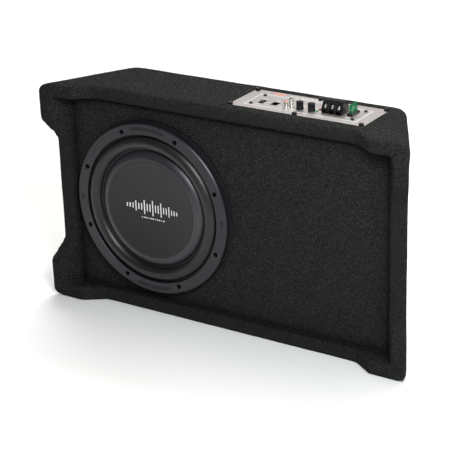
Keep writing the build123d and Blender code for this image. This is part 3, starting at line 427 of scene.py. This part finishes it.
EDGE_ROUNDS = 7  # how often the outer edges are softened
INWARD_PULL = 0.05  # share of the way to its neighbours' mean that an inward corner goes each round
MOUTH_PULL = 0.12  # the same at the mouth of the recess
EDGE_PULL = 0.5  # and everywhere else
CREASE = 0.15 * MM  # inward corners that are sharper than this keep their crease
TUCKED = 2.4 * MM  # depth of the line where two faces of carpet meet inward
MOUTH_REACH = 9 * MM  # width of the rim's inner edge, measured out from the baffle

CREASE_SHADE_WEIGHT, RECESS_SHADE_WEIGHT = 0.45, 0.7  # how much painted shade darkens the creases and the recess's corners
SHADE_REACH = 13 * MM  # how far the painted shade spreads from the corners of the recess
SHADE_FALL = 1.6  # how much faster the painted shade fades on the rim than in the recess

SETTLED = 0.2 * MM  # the gap left between the carpet's cut edge and what it lies on
HOLE_RADIUS = FLANGE_RADIUS - 0.8 * MM  # the carpet is tucked behind the flange
HOLE_REACH = 6 * MM  # cut edges within this of the flange's edge belong to the loudspeaker's hole
PLATE_REACH = 4 * MM  # cut edges within this of the plate's edge belong to the plate's opening
TUCK = 1.0 * MM  # how far the carpet laps over the plate's edge
LIP_RISE = 2.4 * MM  # the swell of the carpet round the plate
LIP_MIDDLE = 3.0 * MM
LIP_REACH = 12.0 * MM

RIM_SWELL = 4.0 * MM  # how much thicker the padding is inside the right-hand rim
RIM_SWELL_REACH = 26 * MM
SHOULDER_DROP = 4.4 * MM  # how far the top slopes down to its left-hand edge
SHOULDER_REACH = 45 * MM
SIDE_LEAN = 86 / 160  # how fast the side walls close in towards the back
CORNER_SWELL = 2.7 * MM  # how far the top right-hand corner is padded out
CORNER_SWELL_REACH = 44 * MM

ROLLS_SCALE, ROLLS_HEIGHT = 22.0, 0.35 * MM  # the broad unevenness of the laid carpet
TUFTS_SCALE, TUFTS_HEIGHT = 190.0, 0.3 * MM  # the fine unevenness of its pile
PILE_LIFT = 0.1 * MM  # how far the pile stands up over all


def ease(share):
    """Smooths shares of 0 to 1, so that they start and end level."""
    return share * share * (3 - 2 * share)


def joined_mesh(names):
    """One mesh from several CAD nodes."""
    gathered = bmesh.new()
    for name in names:
        gathered.from_mesh(nodes[name].data)
    mesh = bpy.data.meshes.new("joined")
    gathered.to_mesh(mesh)
    gathered.free()
    return mesh


def remeshed(mesh, voxel):
    """The mesh rebuilt from even quads, which also fuses parts that touch."""
    holder = bpy.data.objects.new("remesh_holder", mesh)
    bpy.context.scene.collection.objects.link(holder)
    modifier = holder.modifiers.new("Remesh", "REMESH")
    modifier.mode = "VOXEL"
    modifier.voxel_size = voxel
    bpy.context.view_layer.update()
    evaluated = holder.evaluated_get(bpy.context.evaluated_depsgraph_get())
    result = bpy.data.meshes.new_from_object(evaluated)
    bpy.data.objects.remove(holder)
    return result


def largest_island(skin):
    """The vertices of the biggest connected part of a mesh being built."""
    left, biggest = set(skin.verts), set()
    while left:
        start = left.pop()
        island, waiting = {start}, [start]
        while waiting:
            for edge in waiting.pop().link_edges:
                for vertex in edge.verts:
                    if vertex in left:
                        left.remove(vertex)
                        island.add(vertex)
                        waiting.append(vertex)
        if len(island) > len(biggest):
            biggest = island
    return biggest


def without_buried_faces(mesh):
    """Takes away the faces that lie against the boards, and says which vertices are on a cut edge."""
    trees = []
    for name in BOARD_NODES:
        board = nodes[name].data
        corners = [v.co for v in board.vertices]
        trees.append(BVHTree.FromPolygons(corners, [p.vertices for p in board.polygons]))
    skin = bmesh.new()
    skin.from_mesh(mesh)
    near = {v: min(tree.find_nearest(v.co)[3] for tree in trees) < BURIED for v in skin.verts}
    buried = [f for f in skin.faces if all(near[v] for v in f.verts)]
    bmesh.ops.delete(skin, geom=buried, context="FACES")
    strays = set(skin.verts) - largest_island(skin)
    bmesh.ops.delete(skin, geom=list(strays), context="VERTS")
    skin.verts.index_update()
    edge = np.array([v.is_boundary for v in skin.verts])
    skin.to_mesh(mesh)
    skin.free()
    return edge


def vertex_normals(places, faces):
    """Unit normals at the vertices of a mesh of quads."""
    across = places[faces[:, 2]] - places[faces[:, 0]]
    along = places[faces[:, 3]] - places[faces[:, 1]]
    facing = np.cross(across, along)
    normals = np.zeros_like(places)
    for corner in range(4):
        for axis in range(3):
            normals[:, axis] += np.bincount(faces[:, corner], facing[:, axis], len(places))
    return normals / np.maximum(np.linalg.norm(normals, axis=1), 1e-12)[:, None]


def recess_mouth(places):
    """Which places are on the inner edge of the rim, where the carpet turns in to the baffle."""
    low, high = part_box("baffle_carpet")
    inside = (places[:, 2] > low.z - MOUTH_REACH) & (places[:, 2] < high.z + MOUTH_REACH)
    return inside & (places[:, 1] < low.y) & (np.abs(places[:, 0]) < high.x + MOUTH_REACH)


def recess_shade(places):
    """Painted shade: how far each place is into the corners between the baffle and the rim's inner faces, as
    a share that fades with the distance from them.
    """
    low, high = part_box("baffle_carpet")
    from_side = high.x - RIM_SWELL / 2 - np.abs(places[:, 0])
    from_ends = np.minimum(places[:, 2] - low.z, high.z - places[:, 2])
    from_wall = np.minimum(from_side, from_ends)
    from_baffle = np.clip(low.y - places[:, 1], 0, None)
    beyond = np.where(from_wall < 0, -SHADE_FALL * from_wall, from_wall)
    return (places[:, 1] < high.y) * np.exp(-(beyond + from_baffle) / SHADE_REACH)


def neighbour_means(values, edges):
    """At each vertex, the mean of its neighbours' values."""
    total = np.zeros_like(values)
    for axis in range(values.shape[1]):
        total[:, axis] = np.bincount(edges[:, 0], values[edges[:, 1], axis], len(values))
        total[:, axis] += np.bincount(edges[:, 1], values[edges[:, 0], axis], len(values))
    links = np.bincount(edges.ravel(), minlength=len(values))[:, None]
    return total / np.maximum(links, 1)


def softened(places, edges, faces, fixed):
    """Rounds the carpet's outward corners, tucks its inward ones, and gives each place its painted shade,
    darker in creases and in the recess's corners.
    """
    mouth = recess_mouth(places)
    for _ in range(EDGE_ROUNDS):
        pull = neighbour_means(places, edges) - places
        outward = np.einsum("ij,ij->i", pull, vertex_normals(places, faces))
        share = np.where(outward > CREASE, INWARD_PULL, np.where(mouth, MOUTH_PULL, EDGE_PULL))
        share[fixed] = 0.0
        places = places + pull * share[:, None]
    creased = np.clip(outward / (3 * CREASE), 0, 1) * ~fixed
    # painted shade, from how creased each place is and how near the recess's corners it is
    shade = np.clip(CREASE_SHADE_WEIGHT * creased + RECESS_SHADE_WEIGHT * recess_shade(places), 0, 1)
    return places - vertex_normals(places, faces) * (TUCKED * creased)[:, None], shade


def fitted(places, edge):
    """Closes the carpet's cut edges on the loudspeaker's frame and over the amplifier plate."""
    out_x, out_z = places[:, 0] - DRIVER.x, places[:, 2] - DRIVER.z
    radius = np.hypot(out_x, out_z)
    hole = edge & (places[:, 1] < 0) & (radius < FLANGE_RADIUS + HOLE_REACH)
    grown = HOLE_RADIUS / radius[hole]
    places[hole, 0] = DRIVER.x + out_x[hole] * grown
    places[hole, 2] = DRIVER.z + out_z[hole] * grown
    places[hole, 1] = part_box("front_baffle")[0].y - SETTLED
    half = (PLATE_HIGH - PLATE_LOW) / 2
    from_x = np.abs(places[:, 0] - PLATE_MIDDLE.x) - half.x
    from_y = np.abs(places[:, 1] - PLATE_MIDDLE.y) - half.y
    distance = np.maximum(from_x, from_y)
    top = places[:, 2] > PLATE_LOW.z - 2 * MM
    mouth = edge & top & (distance < PLATE_REACH)
    ends = mouth & (from_x > from_y)
    sides = mouth & ~ends
    side_x = np.sign(places[:, 0] - PLATE_MIDDLE.x)
    side_y = np.sign(places[:, 1] - PLATE_MIDDLE.y)
    places[ends, 0] = PLATE_MIDDLE.x + side_x[ends] * (half.x - TUCK)
    places[sides, 1] = PLATE_MIDDLE.y + side_y[sides] * (half.y - TUCK)
    places[mouth, 2] = PLATE_HIGH.z + SETTLED
    near = np.clip(1 - np.abs(distance - LIP_MIDDLE) / LIP_REACH, 0, 1)
    lip = top & ~mouth & (places[:, 2] > PLATE_HIGH.z - 1 * MM)
    places[lip, 2] += LIP_RISE * ease(near)[lip]
    return places


def padded_out(places):
    """Hand-laid carpet's unevenness: a fuller right-hand rim and corner, and a sloping left shoulder."""
    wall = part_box("baffle_carpet")[1]
    near = np.clip(1 - np.abs(places[:, 0] - wall.x) / RIM_SWELL_REACH, 0, 1)
    places[:, 0] -= RIM_SWELL * near * (places[:, 1] < wall.y - CARPET_VOXEL / 2)
    low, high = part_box("carpet_wrap")
    half = high.x - SIDE_LEAN * (places[:, 1] - low.y)
    left = np.clip(1 - (places[:, 0] + half) / SHOULDER_REACH, 0, 1)
    right = np.clip(1 - (half - places[:, 0]) / SHOULDER_REACH, 0, 1)
    upper = np.clip(1 - (high.z - places[:, 2]) / CORNER_SWELL_REACH, 0, 1)
    places[:, 2] -= SHOULDER_DROP * left * left * upper
    places[:, 0] += CORNER_SWELL * right * ease(upper)
    return places


def make_carpet():
    """The fitted carpet: one skin over every face, soft at its edges and slightly uneven."""
    mesh = remeshed(joined_mesh(CARPET_NODES), CARPET_VOXEL)
    edge = without_buried_faces(mesh)
    count = len(mesh.vertices)
    places = np.empty(count * 3)
    mesh.vertices.foreach_get("co", places)
    places = places.reshape(count, 3)
    edges = np.array([e.vertices[:] for e in mesh.edges])
    faces = np.array([f.vertices[:] for f in mesh.polygons])
    places, shade = softened(padded_out(places), edges, faces, edge)
    places = fitted(places, edge)
    # stores the painted shade that darkens the carpet's colour
    mesh.attributes.new(CREASE_SHADE, "FLOAT", "POINT").data.foreach_set("value", shade)
    normals = vertex_normals(places, faces)
    for i, (place, normal) in enumerate(zip(places, normals)):
        if not edge[i]:
            spot = Vector(place)
            rolls = noise.noise(spot * ROLLS_SCALE) * ROLLS_HEIGHT
            tufts = noise.noise(spot * TUFTS_SCALE) * TUFTS_HEIGHT
            places[i] = place + normal * (rolls + tufts + PILE_LIFT)
    mesh.vertices.foreach_set("co", places.ravel())
    mesh.name = "carpet_skin"
    mesh.update()
    piece = new_piece("carpet_skin", mesh, "carpet")
    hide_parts(*CARPET_NODES)
    return piece


# ================================================================ loudspeaker's soft parts
RING_STEPS = 240
ARC_STEPS = 28
SPIDER_STEPS = 160


def arc_points(first, top, last, steps):
    """Points on the circle through three (radius, depth) places, from first to last."""
    (ax, ay), (bx, by), (cx, cy) = first, top, last
    d = 2 * (ax * (by - cy) + bx * (cy - ay) + cx * (ay - by))
    a2, b2, c2 = ax * ax + ay * ay, bx * bx + by * by, cx * cx + cy * cy
    ux = (a2 * (by - cy) + b2 * (cy - ay) + c2 * (ay - by)) / d
    uy = (a2 * (cx - bx) + b2 * (ax - cx) + c2 * (bx - ax)) / d
    start, end = math.atan2(ay - uy, ax - ux), math.atan2(cy - uy, cx - ux)
    peak = math.atan2(by - uy, bx - ux)
    turn = (end - start) % (2 * math.pi)
    if (peak - start) % (2 * math.pi) > turn:
        turn -= 2 * math.pi
    radius = math.hypot(ax - ux, ay - uy)
    return [
        (ux + radius * math.cos(start + turn * i / steps), uy + radius * math.sin(start + turn * i / steps))
        for i in range(steps + 1)
    ]


def radial_blend(piece, start_radius, end_radius):
    """Makes a ring follow the cabinet at start_radius and the cone at end_radius."""
    centre = Vector((DRIVER.x, 0, DRIVER.z))
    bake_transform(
        piece,
        "cabinet",
        "cone_assembly",
        start=centre + Vector((start_radius, 0, 0)),
        end=centre + Vector((end_radius, 0, 0)),
    )
    weights = piece.data.attributes["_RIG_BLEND"].data
    for vertex in piece.data.vertices:
        radius = math.hypot(vertex.co.x - DRIVER.x, vertex.co.z - DRIVER.z)
        share = min(1.0, max(0.0, (start_radius - radius) / (start_radius - end_radius)))
        weights[vertex.index].value = ease(share)


def make_surround():
    """The half-roll rubber surround, with its glued outer flange and inner lip."""
    low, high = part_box("surround")
    outer = (high.x - low.x) / 2
    skin = 1.4 * MM
    ledge, lip = -50.0 * MM, -48.2 * MM  # depths of the frame's ledge and of the cone's edge
    roll_out, roll_in, lip_in = 134.2 * MM, 110.2 * MM, 108.6 * MM
    fillet, bevel, held = 1.6 * MM, 0.3 * MM, 0.5 * MM
    middle, peak = (roll_out + roll_in) / 2, low.y
    front = arc_points((roll_out, ledge - skin), (middle, peak), (roll_in, lip - skin), ARC_STEPS)
    back = arc_points((roll_in + skin, lip), (middle, peak + skin), (roll_out - skin, ledge), ARC_STEPS)
    profile = [(outer, ledge), (outer, ledge - skin), (roll_out + fillet, ledge - skin)] + front
    profile += [(roll_in - fillet / 2, lip - skin), (lip_in + bevel, lip - skin)]
    profile += [(lip_in, lip - 0.9 * skin), (lip_in, lip)] + back
    piece = new_piece("surround_roll", lathe("surround_roll", profile, RING_STEPS), "surround_rubber", None)
    radial_blend(piece, roll_out - held, roll_in + held)
    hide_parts("surround")
    return piece


def make_spider():
    """The corrugated cloth that centres the voice coil."""
    low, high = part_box("spider")
    outer = (high.x - low.x) / 2
    inner, first, last = 25.9 * MM, 29.4 * MM, 62.0 * MM  # radii of the collar and of the corrugations
    rest, swing, skin = -7.0 * MM, 2.0 * MM, 0.6 * MM
    waves, steps = 5, 90
    front = [(inner, rest - skin)]
    for i in range(steps + 1):
        share = i / steps
        depth = rest - swing * math.sin(2 * math.pi * waves * share)
        front.append((first + share * (last - first), depth - skin))
    front.append((outer, rest - skin))
    profile = front + [(r, y + skin) for r, y in reversed(front)]
    piece = new_piece("spider_web", lathe("spider_web", profile, SPIDER_STEPS), "spider_cloth", None)
    radial_blend(piece, last, first)
    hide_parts("spider")
    return piece


# ================================================================ printed marks
PRINT = 0.06 * MM  # thickness of the print
PRINT_GAP = 0.01 * MM  # how far it stands off what it is printed on
PRINT_STEP = 4 * MM  # length of one flat part of a mark that follows the cap
BARS = 19
BAR_PITCH = 5.9 * MM
BAR_WIDTH = 2.1 * MM
DASHES = 11
DASH_PITCH = 4.6 * MM
DASH_LOW, DASH_HIGH = -20.5 * MM, -18.6 * MM
FRAME_TURN = 1.65  # degrees from one raised tick of the loudspeaker's frame to the next
FRAME_RADIUS = 148.5 * MM


def add_strip(marks, corners, thickness, direction):
    """A flat four-cornered mark of a given thickness, added to a mesh being built."""
    low = [marks.verts.new(c) for c in corners]
    high = [marks.verts.new(Vector(c) + direction * thickness) for c in corners]
    marks.faces.new(low)
    marks.faces.new(high)
    for i in range(4):
        j = (i + 1) % 4
        marks.faces.new((low[i], low[j], high[j], high[i]))


def add_oblong(marks, centre, along, across, thickness, direction):
    """A mark that reaches from its centre by two vectors, both ways."""
    corners = [
        centre - along - across,
        centre + along - across,
        centre + along + across,
        centre - along + across,
    ]
    add_strip(marks, corners, thickness, direction)


def marks_piece(name, marks, slot, body="cabinet"):
    """Finishes a mesh of marks as a piece."""
    bmesh.ops.recalc_face_normals(marks, faces=marks.faces)
    mesh = bpy.data.meshes.new(name)
    marks.to_mesh(mesh)
    marks.free()
    piece = new_piece(name, mesh, slot, body)
    mesh.shade_flat()
    return piece


def dish_depth(x, z):
    """Where the front of the dished cap lies at a place measured from its middle."""
    land, dish = 2.4 * MM, 8.0 * MM
    rim = CAP_HIGH.x - DRIVER.x - land
    bowl = (rim * rim + dish * dish) / (2 * dish)
    return CAP_LOW.y + dish - bowl + math.sqrt(bowl * bowl - x * x - z * z)


def make_emblem():
    """A plain level-meter pattern printed on the cap: a row of bars and a broken line under it."""
    marks = bmesh.new()
    forward = Vector((0, -1, 0))

    def mark(x, low, high, width):
        steps = max(1, round((high - low) / PRINT_STEP))
        for i in range(steps):
            z0 = low + (high - low) * i / steps
            z1 = low + (high - low) * (i + 1) / steps
            spots = [(x - width / 2, z0), (x + width / 2, z0), (x + width / 2, z1), (x - width / 2, z1)]
            corners = [(DRIVER.x + a, dish_depth(a, b) + PRINT_GAP, DRIVER.z + b) for a, b in spots]
            add_strip(marks, corners, PRINT, forward)

    for i in range(BARS):
        place = (i - (BARS - 1) / 2) * BAR_PITCH
        swell = 1 - (2 * i / (BARS - 1) - 1) ** 2
        beat = 0.55 + 0.45 * math.cos(2.1 * i)
        tall = (3.5 + 11.0 * swell * beat) * MM
        mark(place, -tall, tall, BAR_WIDTH)
    for i in range(DASHES):
        width = (3.2 if i % 3 else 1.6) * MM
        mark((i - (DASHES - 1) // 2) * DASH_PITCH, DASH_LOW, DASH_HIGH, width)
    return marks_piece("cap_emblem", marks, "print_white", "cone_assembly")


def make_plate_prints():
    """Generic printed marks on the amplifier plate: a frame line, scales, label dashes and an accent.

    Places and sizes are in millimetres from the plate's middle.
    """
    level = PLATE_HIGH.z + PRINT_GAP
    up = Vector((0, 0, 1))
    white, red, dark = bmesh.new(), bmesh.new(), bmesh.new()

    def bar(marks, x, y, long, wide, turn=0.0):
        along = Vector((math.cos(turn), math.sin(turn), 0))
        side = Vector((-math.sin(turn), math.cos(turn), 0))
        centre = Vector((PLATE_MIDDLE.x + x * MM, PLATE_MIDDLE.y + y * MM, level))
        add_oblong(marks, centre, along * long * MM / 2, side * wide * MM / 2, PRINT, up)

    half_long, half_wide, line = 105.6, 29.5, 0.9
    for y in (-half_wide, half_wide):
        bar(white, 0, y, 212, line)
    for x in (-half_long, half_long):
        bar(white, x, 0, 58.1, line, math.pi / 2)
    reach = 8.4
    for x in (-7.0, 15.0):  # the two knobs' scales and names
        for step in range(11):
            turn = math.radians(-50 + 28 * step)
            size = 1.9 if step in (0, 5, 10) else 1.2
            bar(white, x + reach * math.cos(turn), -13.5 + reach * math.sin(turn), size, 0.4, turn)
        bar(white, x, 0.5, 7.5, 1.1)
    for x in (39.4, 52.0, 64.6):  # the three terminals
        bar(dark, x, -18.2, 7.4, 1.9)
        bar(dark, x - 0.8, -21.6, 4.6, 1.1)
    names = (
        (-40.5, -20, 4.2),
        (-40.5, -2.5, 4.2),
        (31.0, -13, 4.2),
        (31.0, -2.5, 5.0),
        (84, -15.5, 9.0),
        (84, -18.2, 6.0),
        (-82, -21.5, 9.0),
        (-82, 4.0, 7.0),
        (-58, 5.0, 9.0),
    )
    for x, y, long in names:
        bar(white, x, y, long, 1.1)
    pitch = 9.5
    for i in range(9):  # the two lines of the title
        bar(white, -52 + pitch * i, 38.5, 7.5 if i % 4 else 5.0, 1.5)
    for i in range(6):
        bar(white, -28 + pitch * i, 34.6, 6.8, 0.8)
    bar(red, -79, 39, 15, 4.6)
    bar(red, -67.5, 39, 4, 4.6)
    marks_piece("plate_print_white", white, "print_white")
    marks_piece("plate_print_red", red, "print_red")
    marks_piece("plate_print_dark", dark, "print_dark")


def make_flange_marks():
    """Raised ticks cast into the loudspeaker's frame, above, below and at both sides."""
    marks = bmesh.new()
    forward = Vector((0, -1, 0))
    front = FLANGE_LOW.y + 0.02 * MM
    for group_turn, count in ((90, 17), (270, 17), (0, 3), (180, 3)):
        for i in range(count):
            angle = math.radians(group_turn + (i - (count - 1) / 2) * FRAME_TURN)
            out = Vector((math.cos(angle), 0, math.sin(angle)))
            side = Vector((-math.sin(angle), 0, math.cos(angle)))
            centre = Vector((DRIVER.x, front, DRIVER.z)) + out * FRAME_RADIUS
            along = out * (3.6 if i % 3 else 2.4) * MM
            add_oblong(marks, centre, along, side * 0.8 * MM, 0.35 * MM, forward)
    return marks_piece("frame_ticks", marks, "frame_mark")


# ================================================================ studio
CAMERA_PLACE = (1.37350, -2.12683, 1.21625)
CAMERA_LENS = 125.803
SENSOR = 36.0
FAR = 50.0
FLOOR_REACH = 9.0
YAW, PITCH, ROLL = -0.583176, -0.388329, -0.033435


def make_camera():
    """A long lens above and to the right of the front."""
    forward = Vector((math.sin(YAW) * math.cos(PITCH), math.cos(YAW) * math.cos(PITCH), math.sin(PITCH)))
    level = Vector((math.cos(YAW), -math.sin(YAW), 0.0))
    upright = level.cross(forward)
    right = level * math.cos(ROLL) + upright * math.sin(ROLL)
    up = upright * math.cos(ROLL) - level * math.sin(ROLL)
    turn = Matrix((right, up, -forward)).transposed()
    data = bpy.data.cameras.new("camera")
    data.lens = CAMERA_LENS
    data.sensor_width = SENSOR
    data.clip_end = FAR
    camera = bpy.data.objects.new("camera", data)
    camera.matrix_world = Matrix.Translation(CAMERA_PLACE) @ turn.to_4x4()
    bpy.context.scene.collection.objects.link(camera)
    bpy.context.scene.camera = camera


def make_floor():
    """A plain pale floor."""
    mesh = bpy.data.meshes.new("studio_floor")
    signs = ((-1, -1), (1, -1), (1, 1), (-1, 1))
    mesh.from_pydata([(x * FLOOR_REACH, y * FLOOR_REACH, 0) for x, y in signs], [], [(0, 1, 2, 3)])
    mesh.materials.append(Finish("studio_floor", (0.9, 0.9, 0.9), 0.9, Specular_IOR_Level=0.0).material)
    floor = bpy.data.objects.new("studio_floor", mesh)
    bpy.context.scene.collection.objects.link(floor)
    floor.location.z = CAD_LOW.z


def area_light(name, place, aim, size, power, colour=(1, 1, 1)):
    """A soft rectangular light that faces a point."""
    data = bpy.data.lights.new(name, "AREA")
    data.shape = "RECTANGLE"
    data.size, data.size_y = size
    data.energy = power
    data.color = colour
    light = bpy.data.objects.new(name, data)
    light.location = place
    light.rotation_mode = "QUATERNION"
    light.rotation_quaternion = (Vector(aim) - Vector(place)).to_track_quat("-Z", "Y")
    bpy.context.scene.collection.objects.link(light)


def make_lights():
    """A small key light, wide soft ones above and behind, and one that keeps the far floor white."""
    world = bpy.data.worlds.new("studio_world")
    world.use_nodes = True
    background = world.node_tree.nodes["Background"]
    background.inputs["Color"].default_value = (1.0, 1.0, 1.0, 1.0)
    background.inputs["Strength"].default_value = 0.14
    bpy.context.scene.world = world
    area_light("key", (0.86, -0.95, 1.22), (-0.05, 0, 0.2), (0.42, 0.42), 23, (0.97, 1.0, 1.03))
    area_light("overhead", (0.4, 0.3, 1.7), (0.15, 0.05, 0.2), (1.6, 1.0), 16, (1.0, 0.975, 0.86))
    area_light("back", (0.9, 2.0, 1.0), (0, 0.1, 0.2), (1.0, 0.8), 9, (1.0, 0.98, 0.95))
    area_light("backdrop", (-2.4, 4.4, 4.8), (-2.4, 4.4, 0), (5.0, 4.0), 500)


bpy.context.scene.view_settings.view_transform = "Standard"
make_camera()
make_floor()
make_lights()
dress_cad()
make_carpet()
make_surround()
make_spider()
make_emblem()
make_plate_prints()
make_flange_marks()
